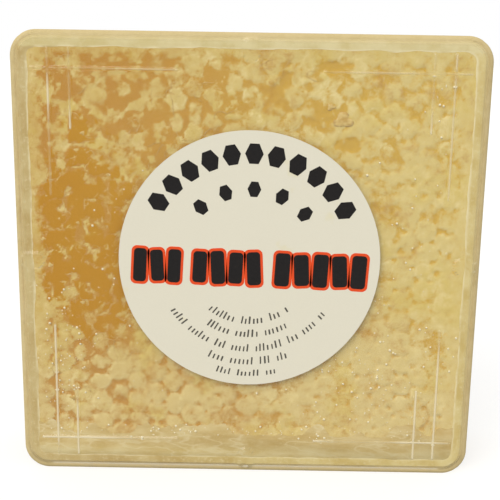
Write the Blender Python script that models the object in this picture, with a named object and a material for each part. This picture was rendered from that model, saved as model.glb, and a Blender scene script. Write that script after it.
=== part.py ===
"""Cut comb honey in a shut, clear plastic box, standing on its lower edge with the lid towards -Y.

The box is a tray and a lid whose skirt slips over the tray's neck, so that both end flush at the
sides. Inside, a slab of capped honeycomb stands above a little honey that has run out of its cut
cells. A round paper label sits in the middle of the lid. Metres, +Z up, origin at the middle of
the footprint.
"""

import math

import bmesh
import bpy

# The box, over all.
WIDTH = 0.110
HEIGHT = 0.107
DEPTH = 0.030
CORNER_RADIUS = 0.006
LEAST_RADIUS = 0.0006
CORNER_STEPS = 6
EDGE_STEPS = 4

# Walls, and the clearance that neighbouring pieces keep.
WALL = 0.0012
CLEARANCE = 0.00035
SEAM_CHAMFER = 0.0003

# Faces that meet at less than this angle are shaded as one.
SMOOTH_ANGLE = math.radians(32)
COMB_SMOOTH_ANGLE = math.radians(50)

# The lid: its face, the raised lines on it and the depth of its skirt.
RIB_HEIGHT = 0.0005
RIB_FOOT = 0.0010
RIB_TOP = 0.0005
RIB_ROOT = 0.0004
FACE_Y = -DEPTH / 2 + RIB_HEIGHT
SKIRT_DEPTH = 0.0092
LID_EDGE_RADIUS = 0.0012
LID_FILLET = 0.0006
SEAM_Y = FACE_Y + SKIRT_DEPTH

# The raised lines stand in from the middle of the lid, and leave a gap on each side's middle.
OUTER_RIB_X = 0.0464
INNER_RIB_X = 0.0415
CROSS_RIB_Z = 0.0450
RIB_END_Z = 0.0497
OUTER_RIB_START = 0.0160
INNER_RIB_START = 0.0315
CROSS_RIB_START = 0.0168
CROSS_RIB_END = 0.0506

# A low round-ended tab stands at the middle of each side of the lid.
TAB_WIDTH = 0.0042
TAB_LENGTH = 0.0055
TAB_SETBACK = 0.0012
TAB_STEPS = 8

# The tray: a neck inside the skirt, then full width from the shoulder back.
BACK_Y = DEPTH / 2
NECK_INSET = WALL + CLEARANCE
NECK_INNER = NECK_INSET + WALL
RIM_Y = FACE_Y + WALL + CLEARANCE
SHOULDER_Y = SEAM_Y + CLEARANCE
SHOULDER_INNER_Y = SHOULDER_Y + 0.0015
SHOULDER_SLOPE = 0.0016
TRAY_EDGE_RADIUS = 0.0026

# The comb: a slab between two capped faces, cut a little uneven.
COMB_LEFT = -0.0514
COMB_RIGHT = 0.0514
COMB_BOTTOM = 0.0090
COMB_TOP = 0.1034
COMB_FRONT_Y = FACE_Y + WALL + CLEARANCE
COMB_BACK_Y = BACK_Y - WALL - CLEARANCE
COMB_CORNER = 0.0035
COMB_WAVE = 0.00025
COMB_WAVE_TURNS = 5
COMB_SIDE_POINTS = 18
KNIFE_OVERSHOOT = 0.005
CELL_PITCH = 0.0053
CAP_HEIGHT = 0.0006
CAP_SPREAD = 0.0003

# The honey under the comb.
HONEY_TOP = COMB_BOTTOM - CLEARANCE
HONEY_SWELL = 0.0004
HONEY_WAVES = 11
HONEY_DRIFT = 0.7
HONEY_TOP_POINTS = 16
HONEY_CORNER_STEPS = 5

# The label.
LABEL_DIAMETER = 0.062
LABEL_THICKNESS = 0.00015
LABEL_X = 0.0002
LABEL_Z = HEIGHT / 2 + 0.0006
LABEL_SIDES = 96


def clear_scene():
    for obj in list(bpy.data.objects):
        bpy.data.objects.remove(obj, do_unlink=True)


def make_material(name, colour, roughness, metallic=0.0, transmission=0.0, ior=1.5):
    material = bpy.data.materials.new(name)
    material.use_nodes = True
    shader = material.node_tree.nodes["Principled BSDF"]
    shader.inputs["Base Color"].default_value = (*colour, 1.0)
    shader.inputs["Roughness"].default_value = roughness
    shader.inputs["Metallic"].default_value = metallic
    shader.inputs["Transmission Weight"].default_value = transmission
    shader.inputs["IOR"].default_value = ior
    material.diffuse_color = (*colour, 1.0)
    return material


def make_object(name, bm, material, parent, smooth_angle=SMOOTH_ANGLE):
    """Turns a bmesh into a named object whose faces point outwards."""
    bmesh.ops.recalc_face_normals(bm, faces=bm.faces)
    mesh = bpy.data.meshes.new(name)
    bm.to_mesh(mesh)
    bm.free()
    mesh.shade_smooth()
    mesh.set_sharp_from_angle(angle=smooth_angle)
    mesh.materials.append(material)
    obj = bpy.data.objects.new(name, mesh)
    obj.parent = parent
    bpy.context.scene.collection.objects.link(obj)
    return obj


def make_helper(name, bm):
    """A mesh that only takes part in a Boolean."""
    bmesh.ops.recalc_face_normals(bm, faces=bm.faces)
    mesh = bpy.data.meshes.new(name)
    bm.to_mesh(mesh)
    bm.free()
    obj = bpy.data.objects.new(name, mesh)
    obj.hide_render = True
    obj.display_type = "WIRE"
    bpy.context.scene.collection.objects.link(obj)
    return obj


def add_boolean(obj, helper, operation):
    modifier = obj.modifiers.new(f"{operation.lower()}_{helper.name}", "BOOLEAN")
    modifier.operation = operation
    modifier.object = helper
    modifier.solver = "EXACT"


def rounded_outline(inset):
    """(x, z) points round the box's outline, moved in by inset, from the lower right corner."""
    radius = max(CORNER_RADIUS - inset, LEAST_RADIUS)
    across = WIDTH / 2 - inset - radius
    up = HEIGHT / 2 - inset - radius
    corners = [(across, -up, -90), (across, up, 0), (-across, up, 90), (-across, -up, 180)]
    points = []
    for centre_x, centre_z, start in corners:
        for step in range(CORNER_STEPS + 1):
            angle = math.radians(start + 90 * step / CORNER_STEPS)
            x = centre_x + radius * math.cos(angle)
            z = centre_z + radius * math.sin(angle)
            points.append((x, z + HEIGHT / 2))
    return points


def loft(profile):
    """A closed shell through one outline for each (y, inset) of the profile, capped at both ends."""
    bm = bmesh.new()
    rings = []
    for y, inset in profile:
        rings.append([bm.verts.new((x, y, z)) for x, z in rounded_outline(inset)])
    bridge(bm, rings)
    return bm


def bridge(bm, rings):
    """Joins rings of equal length with quads, and closes the first and the last."""
    count = len(rings[0])
    for near, far in zip(rings, rings[1:]):
        for i in range(count):
            j = (i + 1) % count
            bm.faces.new((near[i], near[j], far[j], far[i]))
    bm.faces.new(rings[0])
    bm.faces.new(rings[-1])


def quarter(face_y, side_inset, radius, inwards):
    """(y, inset) points of a rounded edge, from the flat face to the side wall."""
    points = []
    for step in range(EDGE_STEPS + 1):
        angle = math.pi / 2 * (1 - step / EDGE_STEPS)
        y = face_y + inwards * radius * (1 - math.sin(angle))
        points.append((y, side_inset + radius * (1 - math.cos(angle))))
    return points


def slanted_prism(outline, foot_of):
    """A prism on the lid's face, whose outer end is the outline and whose foot is wider.

    foot_of gives the point (x, z) of the foot that belongs to a point of the outline.
    """
    bm = bmesh.new()
    outer = [bm.verts.new((x, FACE_Y - RIB_HEIGHT, z)) for x, z in outline]
    foot = [bm.verts.new((x, FACE_Y, z)) for x, z in map(foot_of, outline)]
    root = [bm.verts.new((x, FACE_Y + RIB_ROOT, z)) for x, z in map(foot_of, outline)]
    bridge(bm, [outer, foot, root])
    return bm


def rib(name, x_range, z_range):
    """A straight raised line, along X or Z, with sloping sides and ends."""
    slope = (RIB_FOOT - RIB_TOP) / 2
    x_low, x_high = sorted(x_range)
    z_low, z_high = sorted(z_range)
    if x_low == x_high:
        x_low, x_high = x_low - RIB_TOP / 2, x_high + RIB_TOP / 2
    else:
        z_low, z_high = z_low - RIB_TOP / 2, z_high + RIB_TOP / 2
    middle_x = (x_low + x_high) / 2
    middle_z = (z_low + z_high) / 2
    outline = [(x_low, z_low), (x_high, z_low), (x_high, z_high), (x_low, z_high)]

    def foot(point):
        x, z = point
        return x + math.copysign(slope, x - middle_x), z + math.copysign(slope, z - middle_z)

    return make_helper(name, slanted_prism(outline, foot))


def tab(name, turn):
    """A low tab with a round inner end, at the middle of the side that the turn (degrees) faces."""
    slope = (RIB_FOOT - RIB_TOP) / 2
    reach = (HEIGHT if turn % 180 else WIDTH) / 2 - TAB_SETBACK
    radius = TAB_WIDTH / 2
    round_centre = reach - TAB_LENGTH + radius
    outline = [(reach, radius)]
    for step in range(TAB_STEPS + 1):
        angle = math.pi / 2 + math.pi * step / TAB_STEPS
        outline.append((round_centre + radius * math.cos(angle), radius * math.sin(angle)))
    outline.append((reach, -radius))
    cos_turn = math.cos(math.radians(turn))
    sin_turn = math.sin(math.radians(turn))

    def placed(point):
        along, across = point
        return (
            along * cos_turn - across * sin_turn,
            along * sin_turn + across * cos_turn + HEIGHT / 2,
        )

    outer = [placed(point) for point in outline]
    wider = {}
    for point, (along, across) in zip(outer, outline):
        grow = (radius + slope) / radius
        from_round = along - round_centre
        along_foot = round_centre + (from_round * grow if from_round < 0 else from_round)
        wider[point] = placed((along_foot, across * grow))
    return make_helper(name, slanted_prism(outer, wider.get))


def make_lid(material, parent):
    inner_face_y = FACE_Y + WALL
    profile = quarter(FACE_Y, 0.0, LID_EDGE_RADIUS, 1)
    profile += [(SEAM_Y - SEAM_CHAMFER, 0.0), (SEAM_Y, SEAM_CHAMFER), (SEAM_Y, WALL)]
    profile += [(inner_face_y + LID_FILLET, WALL), (inner_face_y, WALL + LID_FILLET)]
    lid = make_object("box_lid", loft(profile), material, parent)
    middle = HEIGHT / 2
    for side in (-1, 1):
        for end in (-1, 1):
            where = f"{'left' if side < 0 else 'right'}_{'low' if end < 0 else 'high'}"
            outer_x = side * OUTER_RIB_X
            inner_x = side * INNER_RIB_X
            cross_z = middle + end * CROSS_RIB_Z
            rib_end = middle + end * RIB_END_Z
            ribs = [
                rib(f"outer_rib_{where}", (outer_x, outer_x), (middle + end * OUTER_RIB_START, rib_end)),
                rib(f"inner_rib_{where}", (inner_x, inner_x), (middle + end * INNER_RIB_START, rib_end)),
                rib(
                    f"cross_rib_{where}",
                    (side * CROSS_RIB_START, side * CROSS_RIB_END),
                    (cross_z, cross_z),
                ),
            ]
            for helper in ribs:
                add_boolean(lid, helper, "UNION")
    for turn in (0, 90, 180, 270):
        add_boolean(lid, tab(f"tab_{turn}", turn), "UNION")
    return lid


def make_tray(material, parent):
    inner_back_y = BACK_Y - WALL
    inner_radius = TRAY_EDGE_RADIUS - WALL
    profile = quarter(BACK_Y, 0.0, TRAY_EDGE_RADIUS, -1)
    profile += [(SHOULDER_Y + SEAM_CHAMFER, 0.0), (SHOULDER_Y, SEAM_CHAMFER), (SHOULDER_Y, NECK_INSET)]
    profile += [(RIM_Y, NECK_INSET), (RIM_Y, NECK_INNER)]
    profile += [(SHOULDER_INNER_Y, NECK_INNER), (SHOULDER_INNER_Y + SHOULDER_SLOPE, WALL)]
    profile += reversed(quarter(inner_back_y, WALL, inner_radius, -1))
    return make_object("box_base", loft(profile), material, parent)


def comb_cells():
    """Middles (x, z) of the cells in upright columns, past the slab's edges on every side."""
    column_step = CELL_PITCH * math.sqrt(3) / 2
    columns = math.ceil((COMB_RIGHT - COMB_LEFT) / column_step) + 2
    rows = math.ceil((COMB_TOP - COMB_BOTTOM) / CELL_PITCH) + 2
    cells = []
    for column in range(columns):
        for row in range(rows):
            x = COMB_LEFT + column_step * (column - 0.5)
            z = COMB_BOTTOM + CELL_PITCH * (row - 0.5 + 0.5 * (column % 2))
            cells.append((x, z, row, column))
    return cells


def capped_slab():
    """A slab of hexagonal cells, each closed front and back by a low pointed cap."""
    bm = bmesh.new()
    corners = {}

    def corner(x, y, z):
        key = (round(x, 5), round(y, 5), round(z, 5))
        if key not in corners:
            corners[key] = bm.verts.new((x, y, z))
        return corners[key]

    radius = CELL_PITCH / math.sqrt(3)
    for x, z, row, column in comb_cells():
        lift = CAP_HEIGHT - CAP_SPREAD * ((row * 2 + column * 3) % 5) / 5
        ends = ((COMB_FRONT_Y + CAP_HEIGHT, -lift), (COMB_BACK_Y - CAP_HEIGHT, lift))
        for rim_y, rise in ends:
            top = bm.verts.new((x, rim_y + rise, z))
            ring = []
            for side in range(6):
                angle = math.radians(60 * side)
                ring.append(corner(x + radius * math.cos(angle), rim_y, z + radius * math.sin(angle)))
            for i in range(6):
                bm.faces.new((ring[i], ring[(i + 1) % 6], top))
    close_sides(bm)
    return bm


def close_sides(bm):
    """Joins the open edge of the front cells to that of the back cells."""
    rim = [edge for edge in bm.edges if edge.is_boundary]
    bmesh.ops.bridge_loops(bm, edges=rim)


def comb_outline():
    """(x, z) points round the slab, whose cut sides wave a little."""
    middle_x = (COMB_LEFT + COMB_RIGHT) / 2
    middle_z = (COMB_BOTTOM + COMB_TOP) / 2
    across = (COMB_RIGHT - COMB_LEFT) / 2 - COMB_CORNER
    up = (COMB_TOP - COMB_BOTTOM) / 2 - COMB_CORNER
    sides = [(across, -up, -90), (across, up, 0), (-across, up, 90), (-across, -up, 180)]
    corners = []
    for centre_x, centre_z, start in sides:
        for step in range(CORNER_STEPS):
            angle = math.radians(start + 90 * step / (CORNER_STEPS - 1))
            x = middle_x + centre_x + COMB_CORNER * math.cos(angle)
            z = middle_z + centre_z + COMB_CORNER * math.sin(angle)
            corners.append((x, z))
    points = []
    for index, (x, z) in enumerate(corners):
        points.append((x, z))
        if index % CORNER_STEPS == CORNER_STEPS - 1:
            next_x, next_z = corners[(index + 1) % len(corners)]
            points += wavy_side((x, z), (next_x, next_z))
    return points


def wavy_side(start, end):
    """Points between two corners of the slab, moved in by a wave that is nil at both ends."""
    length = math.dist(start, end)
    along_x = (end[0] - start[0]) / length
    along_z = (end[1] - start[1]) / length
    points = []
    for step in range(1, COMB_SIDE_POINTS):
        share = step / COMB_SIDE_POINTS
        inward = COMB_WAVE * (1 - math.cos(2 * math.pi * COMB_WAVE_TURNS * share))
        x = start[0] + along_x * length * share - along_z * inward
        z = start[1] + along_z * length * share + along_x * inward
        points.append((x, z))
    return points


def make_comb(material, parent):
    """The capped slab, cut to its outline."""
    knife = bmesh.new()
    outline = comb_outline()
    front = [knife.verts.new((x, COMB_FRONT_Y - KNIFE_OVERSHOOT, z)) for x, z in outline]
    back = [knife.verts.new((x, COMB_BACK_Y + KNIFE_OVERSHOOT, z)) for x, z in outline]
    bridge(knife, [front, back])
    comb = make_object("comb", capped_slab(), material, parent, smooth_angle=COMB_SMOOTH_ANGLE)
    add_boolean(comb, make_helper("comb_knife", knife), "INTERSECT")
    return comb


def honey_outline(inset, phase):
    """(x, z) points of the pool's section: up the right wall, over its surface, down the left wall."""
    radius = max(CORNER_RADIUS - inset, LEAST_RADIUS)
    across = WIDTH / 2 - inset
    corner = []
    for step in range(HONEY_CORNER_STEPS + 1):
        angle = math.pi / 2 * step / HONEY_CORNER_STEPS
        x = across - radius + radius * math.sin(angle)
        corner.append((x, inset + radius - radius * math.cos(angle)))
    surface = []
    for step in range(HONEY_TOP_POINTS + 1):
        share = step / HONEY_TOP_POINTS
        drop = HONEY_SWELL * (1 + math.sin(HONEY_WAVES * share + phase)) / 2
        surface.append((across * (1 - 2 * share), HONEY_TOP - drop))
    return corner + surface + [(-x, z) for x, z in reversed(corner)]


def make_honey(material, parent):
    """The pool, filling the bottom of the box from the neck to the back wall."""
    narrow = NECK_INNER + CLEARANCE
    wide = WALL + CLEARANCE
    inner_radius = TRAY_EDGE_RADIUS - WALL
    stations = [
        (RIM_Y + CLEARANCE, narrow),
        (SHOULDER_INNER_Y + CLEARANCE, narrow),
        (SHOULDER_INNER_Y + SHOULDER_SLOPE + CLEARANCE, wide),
        (BACK_Y - WALL - CLEARANCE - inner_radius, wide),
        (BACK_Y - WALL - CLEARANCE, wide + inner_radius),
    ]
    bm = bmesh.new()
    rings = []
    for index, (y, inset) in enumerate(stations):
        rings.append([bm.verts.new((x, y, z)) for x, z in honey_outline(inset, HONEY_DRIFT * index)])
    bridge(bm, rings)
    return make_object("honey", bm, material, parent)


def make_label(material, parent):
    bm = bmesh.new()
    rings = []
    for y in (FACE_Y - CLEARANCE - LABEL_THICKNESS, FACE_Y - CLEARANCE):
        ring = []
        for side in range(LABEL_SIDES):
            angle = 2 * math.pi * side / LABEL_SIDES
            x = LABEL_X + LABEL_DIAMETER / 2 * math.cos(angle)
            ring.append(bm.verts.new((x, y, LABEL_Z + LABEL_DIAMETER / 2 * math.sin(angle))))
        rings.append(ring)
    bridge(bm, rings)
    return make_object("label", bm, material, parent)


def main():
    clear_scene()
    pack = bpy.data.objects.new("comb_honey_pack", None)
    bpy.context.scene.collection.objects.link(pack)
    plastic = make_material("clear_plastic", (0.93, 0.92, 0.88), 0.08, transmission=1.0, ior=1.49)
    wax = make_material("capped_wax", (0.66, 0.50, 0.24), 0.45)
    amber = make_material("honey", (0.55, 0.26, 0.04), 0.08, transmission=0.5, ior=1.49)
    paper = make_material("label_paper", (0.78, 0.74, 0.62), 0.55)
    make_tray(plastic, pack)
    make_lid(plastic, pack)
    make_comb(wax, pack)
    make_honey(amber, pack)
    make_label(paper, pack)


main()
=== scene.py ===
import math

import bmesh
import bpy
import numpy as np
from mathutils import Matrix, Vector


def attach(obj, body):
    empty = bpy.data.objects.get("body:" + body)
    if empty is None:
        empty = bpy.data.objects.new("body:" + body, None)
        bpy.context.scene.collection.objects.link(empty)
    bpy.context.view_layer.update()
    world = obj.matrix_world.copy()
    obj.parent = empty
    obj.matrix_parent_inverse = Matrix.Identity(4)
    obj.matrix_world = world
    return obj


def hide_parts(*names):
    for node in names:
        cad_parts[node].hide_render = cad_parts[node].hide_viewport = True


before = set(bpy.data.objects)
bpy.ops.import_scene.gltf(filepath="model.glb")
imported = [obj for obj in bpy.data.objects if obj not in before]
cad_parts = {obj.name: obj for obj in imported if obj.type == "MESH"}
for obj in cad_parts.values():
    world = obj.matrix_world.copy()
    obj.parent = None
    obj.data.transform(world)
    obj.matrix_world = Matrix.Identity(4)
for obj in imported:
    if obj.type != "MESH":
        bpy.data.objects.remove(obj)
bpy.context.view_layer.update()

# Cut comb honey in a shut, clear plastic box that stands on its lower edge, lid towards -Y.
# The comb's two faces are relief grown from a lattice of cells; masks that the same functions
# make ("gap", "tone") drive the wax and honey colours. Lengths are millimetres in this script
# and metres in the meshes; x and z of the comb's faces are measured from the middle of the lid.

MM = 0.001

# Places that the CAD model gives. An inset is how far a wall lies inside the outer outline.
LID_FACE_Y = -14.5
LID_INNER_Y = -13.3
SKIRT_ROOT_Y = -12.7
SKIRT_END_Y = -5.3
NECK_TOP_Y = -12.95
NECK_END_Y = -3.45
TRAY_LIP_Y = -4.95
WIDE_START_Y = -1.85
BACK_INNER_Y = 13.8
BACK_FACE_Y = 15.0
MIDDLE_Z = 53.5
HALF_WIDTH = 55.0
HALF_HEIGHT = 53.5
CORNER = 6.0
WALL = 1.2
NECK_INSET = 2.75
WIDE_INSET = 1.25
CHAMFER = 0.3

# How far soft things reach into a wall, and the back and inner ends of the honey film.
WALL_REACH = 0.04
POOL_REACH = 0.08
FILM_END_Y = -5.9
LIP_INSET = 3.7

# The comb.
COMB_X = 52.3
COMB_LOW = 9.0
COMB_HIGH = 104.3
COMB_CORNER = 3.2
FINE_COLUMNS = 256
FINE_ROWS = 234
PITCH = 5.3
NOISE_SIDE = 256
CAP_RADIUS = 2.5
DEEPEST_GAP = 0.95
CAP_START_Y = -12.1
CAP_END_Y = 12.4
WIDE_REACH = 1.5

# Loose wax and air against the lid.
THREADS = 150
THREAD_STEP = 0.62
CRUMBS = 20
CRUMB_THICKNESS = 0.45
CRUMB_IN_WALL = 0.10

# The honey pool: its level and the points along its surface.
POOL_TOP = 9.3
POOL_STEPS = 120

# A torn cap beside a lump of wax, from the middle of the lid.
TEAR_X = 21.3
TEAR_Z = 34.0

# The label.
LABEL_RADIUS = 31.0
LABEL_X = 0.2
LABEL_Z = 54.1
PAPER_BACK_Y = LID_FACE_Y - 0.01
PAPER_FRONT_Y = LID_FACE_Y - 0.13
INK_THICKNESS = 0.03
PRINT_SLOPE = math.tan(math.radians(-1.2))

# The moulded lines and tabs of the lid, for one quarter of its face.
RIB_LINES = (
    ((46.4, 16.0), (46.4, 49.2)), ((41.5, 31.5), (41.5, 49.2)), ((16.8, 45.0), (50.1, 45.0)),
)
TAB_LINES = (((50.4, 0), (52.2, 0)), ((0, 48.9), (0, 50.7)))
LEVEL_RIB_Z = 45.0
RIB_HEIGHT = 0.3
RIB_REACH = 0.62
TAB_HEIGHT = 0.5
SIDE_HAZE = 0.2
SHARP_DEGREES = 38


# ---- numbers and fields

def smooth(start, end, value):
    """0 before start, 1 after end, with a soft change between them."""
    share = np.clip((value - start) / (end - start), 0.0, 1.0)
    return share * share * (3 - 2 * share)


def noise(x, z, size, seed):
    """Smooth noise from 0 to 1, with features of about size."""
    values = np.random.default_rng(seed).random((NOISE_SIDE, NOISE_SIDE))
    u, v = x / size + 0.37, z / size + 0.61
    column, row = np.floor(u).astype(int), np.floor(v).astype(int)
    f, g = u - column, v - row
    f, g = f * f * (3 - 2 * f), g * g * (3 - 2 * g)
    left, right = column % NOISE_SIDE, (column + 1) % NOISE_SIDE
    low, high = row % NOISE_SIDE, (row + 1) % NOISE_SIDE
    below = values[left, low] * (1 - f) + values[right, low] * f
    above = values[left, high] * (1 - f) + values[right, high] * f
    return below * (1 - g) + above * g


def layers(x, z, size, seed):
    """Noise with finer layers on it, from 0 to 1."""
    return (
        noise(x, z, size, seed) * 0.55
        + noise(x, z, size * 0.47, seed + 1) * 0.29
        + noise(x, z, size * 0.21, seed + 2) * 0.16
    )


def blob(x, z, centre_x, centre_z, reach_x, reach_z):
    """1 in the middle of an oval patch and 0 outside it."""
    away = np.hypot((x - centre_x) / reach_x, (z - centre_z) / reach_z)
    return 1 - smooth(0.45, 1.15, away)


def cell_middles(seed):
    """Middles of the cells, in upright columns, each a little out of place."""
    step = PITCH * math.sqrt(3) / 2
    middles = [
        (column * step + 0.9, (row + 0.5 * (column % 2)) * PITCH + 1.2)
        for column in range(-13, 14) for row in range(-11, 12)
    ]
    rng = np.random.default_rng(seed)
    return np.array(middles) + rng.normal(0, 0.2, (len(middles), 2))


def three_nearest(x, z, middles):
    """Index of the nearest cell, and the distances to the three nearest."""
    index = np.empty(len(x), int)
    distances = np.empty((len(x), 3))
    for start in range(0, len(x), 8000):
        part = slice(start, start + 8000)
        square = (x[part, None] - middles[:, 0]) ** 2 + (z[part, None] - middles[:, 1]) ** 2
        order = np.argpartition(square, 2, axis=1)[:, :3]
        near = np.take_along_axis(square, order, axis=1)
        sorting = np.argsort(near, axis=1)
        index[part] = np.take_along_axis(order, sorting, axis=1)[:, 0]
        distances[part] = np.sqrt(np.take_along_axis(near, sorting, axis=1))
    return index, distances


def comb_areas(x, z, broad, patch, front):
    """How bare, regular, golden, wide apart, dotted and full the cappings are, place by place."""
    if not front:
        bare = np.clip(0.35 * blob(x, z, 26, -20, 18, 18) + 0.7 * (broad - 0.5), 0, 1)
        full = np.clip(0.9 * (patch - 0.55), 0, 1)
        everywhere, nowhere = np.ones_like(x), np.zeros_like(x)
        return bare, everywhere, nowhere, 0.65 * everywhere, nowhere, full
    bare = blob(x, z, -38, 3, 17, 26) + 0.6 * blob(x, z, -32, -16, 10, 13)
    bare = np.clip(bare + broad - 0.5, 0, 1)
    ordered = smooth(12, -16, x) * smooth(-6, -20, z)
    ordered = np.maximum(ordered, 0.75 * blob(x, z, 21, 30, 27, 17))
    golden = smooth(14, -34, x) * smooth(4, 24, z)
    wide = np.maximum(golden, 0.6 * ordered)
    dotted = smooth(12, 30, x) * smooth(24, 4, z)
    full = 0.45 * smooth(-10, -24, z) * smooth(-48, -16, x) + 0.65 * smooth(18, 40, x)
    full = np.clip(full + 1.1 * (patch - 0.5) - 0.3 * ordered * smooth(0, 12, z), 0, 1)
    return bare, ordered, golden, wide, dotted, full


def comb_face(x, z, seed, front):
    """Depth behind the wall, honey share and tone of a capped face at points x, z."""
    def plain(size, shift):
        return noise(x, z, size, seed + shift)

    def mixed(size, shift):
        return layers(x, z, size, seed + shift)

    warped_x, warped_z = x, z
    lively = 1 - 0.5 * smooth(-8, -24, z)
    for size, amount, shift in ((22, 2.2, 10), (5, 1.5, 12), (1.9, 1.2, 14), (0.9, 0.7, 16)):
        warped_x = warped_x + amount * lively * (plain(size, shift) - 0.5)
        warped_z = warped_z + amount * lively * (plain(size, shift + 1) - 0.5)
    middles = cell_middles(seed)
    cell, near = three_nearest(warped_x, warped_z, middles)
    rng = np.random.default_rng(seed + 20)
    size_of = rng.normal(0, 0.2, len(middles))[cell]
    tone_of = rng.normal(0, 1, len(middles))[cell]
    thick_of = rng.uniform(0.5, 1.05, len(middles))[cell]
    ring_of = rng.random(len(middles))[cell]
    luck = rng.random(len(middles))[cell]
    rough, patch, broad = mixed(1.3, 30), mixed(4.5, 35), mixed(12, 40)
    bare, ordered, golden, wide, dotted, full = comb_areas(x, z, broad, patch, front)

    # Caps, the gaps between them, and the honey that shows where they meet.
    uncapped = smooth(0.0, 0.15, bare * 1.15 - luck)
    radius = CAP_RADIUS - 0.45 * wide + size_of + 1.2 * (rough - 0.5) + 1.3 * (patch - 0.5)
    cap = smooth(-0.85, 0.6, radius - near[:, 0])
    cap = cap * np.clip(thick_of + 0.9 * (rough - 0.35), 0, 1)
    clear_cut = np.maximum(0.25 + 0.55 * smooth(0.34, 0.60, mixed(13, 61)), 0.95 * ordered)
    smeared = smooth(0.36, 0.60, mixed(2.8, 62))
    cap = smeared + (cap - smeared) * clear_cut
    apart = (near[:, 1] - near[:, 0]) / 2
    corner = smooth(1.55, 0.4, near[:, 2] - near[:, 0]) * smooth(0.2, 0.45, plain(3.4, 50))
    dash = smooth(0.55, 0.12, apart) * smooth(0.62, 0.8, plain(3.1, 51))
    blotch = smooth(0.50, 0.72, mixed(5.5, 63))
    honeyed = (0.8 + 0.2 * dotted) * corner + (0.6 + 0.3 * dotted) * dash + 0.5 * blotch
    filled = 1 - np.clip(honeyed, 0, 1)
    wax = (cap + (filled - cap) * full) * (1 - uncapped)

    # Torn rims and shreds of wax show as light lines where a cell has no cap.
    rim = smooth(0.5, 0.08, apart) * smooth(0.44, 0.62, plain(2.6, 52))
    crease = smooth(0.07, 0.0, np.abs(noise(warped_x, warped_z, 2.3, seed + 56) - 0.5))
    crease = crease * smooth(0.36, 0.56, plain(3.7, 57))
    fold = smooth(0.06, 0.0, np.abs(noise(warped_x, warped_z, 5.2, seed + 58) - 0.5))
    crease = np.maximum(crease, 0.9 * fold * smooth(0.38, 0.56, plain(5, 59)))
    crumbs = smooth(0.50, 0.70, mixed(2.3, 53)) * smooth(0.35, 0.65, plain(6, 54))
    shreds = np.maximum.reduce([0.6 * rim, 0.6 * crease, 0.65 * crumbs])
    wax = np.maximum(wax, shreds * np.clip(uncapped + 0.4 * wide, 0, 1))

    # A veil of wax and a fine mottle lie over both.
    veil = smooth(0.46, 0.76, mixed(7, 55)) * (0.12 + 0.5 * (1 - bare)) * (1 - 0.75 * golden)
    wax = wax + veil * (1 - wax)
    mottle = 0.9 * (mixed(3.2, 65) - 0.5) + 0.7 * (mixed(1.5, 68) - 0.5)
    mottle = mottle * (1 - 0.5 * np.maximum(ordered, dotted))
    mottle = mottle + uncapped * (0.13 + 0.5 * (plain(2.0, 72) - 0.5))
    wax = np.clip(wax + mottle, 0, 1)

    # Near the walls the comb is smeared pale and lies against the plastic.
    from_side = COMB_X - np.abs(x) + 3.0 * (broad - 0.5)
    from_top = COMB_HIGH - MIDDLE_Z - z + 2.0 * (patch - 0.5)
    from_bottom = z + MIDDLE_Z - COMB_LOW + 3.0 * (patch - 0.5)
    edges = [smooth(5.6, 1.0, from_side), smooth(3.8, 0.8, from_top), smooth(2.6, 0.4, from_bottom)]
    edge = np.maximum.reduce(edges)
    wax = wax + edge * (0.82 - wax)

    # One front cap is torn open beside a lump of wax, with clear honey in the tear.
    tear, strength = np.zeros_like(x), 0.8
    if front:
        torn_x = x + 4.5 * (plain(1.9, 74) - 0.5)
        torn_z = z + 4.5 * (plain(1.9, 75) - 0.5)
        tear = blob(torn_x, torn_z, TEAR_X - 2.8, TEAR_Z + 1.2, 1.6, 3.4)
        tear = tear + blob(torn_x, torn_z, TEAR_X + 0.9, TEAR_Z - 5.8, 3.5, 2.6)
        tear = np.clip(tear, 0, 1) * smooth(0.25, 0.5, rough)
        wax = wax * (1 - tear)
        strength = 1 - 0.32 * smooth(-10, 34, x) - 0.26 * smooth(-5, -26, z)
    gap = np.maximum(np.clip((1 - wax) * strength, 0, 1), tear)

    rim_line = smooth(0.35, 0.0, np.abs(near[:, 0] - 2.15 + 0.6 * (rough - 0.5)))
    rim_line = rim_line * smooth(0.45, 0.7, ring_of)
    tone = 0.5 + 0.07 * tone_of * cap + 0.28 * rim_line * (1 - 0.6 * full)
    tone = tone + 0.7 * (rough - 0.5) + 0.5 * (broad - 0.5) + 0.4 * (patch - 0.5)

    # Caps press flat on the plastic; the gaps lie deeper, and honey fills bare cells up to it.
    crown = np.clip(near[:, 0] / 2.6, 0, 1) ** 3
    cap_depth = 0.10 * crown * (1 - full) + 0.2 * (rough - 0.42)
    wet = np.clip(1.6 * bare + 0.75 * golden, 0, 1)
    gap_depth = (0.42 + 0.3 * (rough - 0.5)) * (1 - wet) - WALL_REACH
    depth = gap_depth + (cap_depth - gap_depth) * wax
    depth = depth * (1 - 0.95 * edge)
    return np.clip(depth, -WALL_REACH, DEEPEST_GAP), gap, np.clip(tone, 0, 1)


# ---- meshes

def link(name, data):
    obj = bpy.data.objects.new(name, data)
    bpy.context.scene.collection.objects.link(obj)
    return obj


def link_mesh(mesh, material, smooth_shaded=True):
    mesh.materials.append(material)
    if smooth_shaded:
        mesh.shade_smooth()
    return link(mesh.name, mesh)


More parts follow.
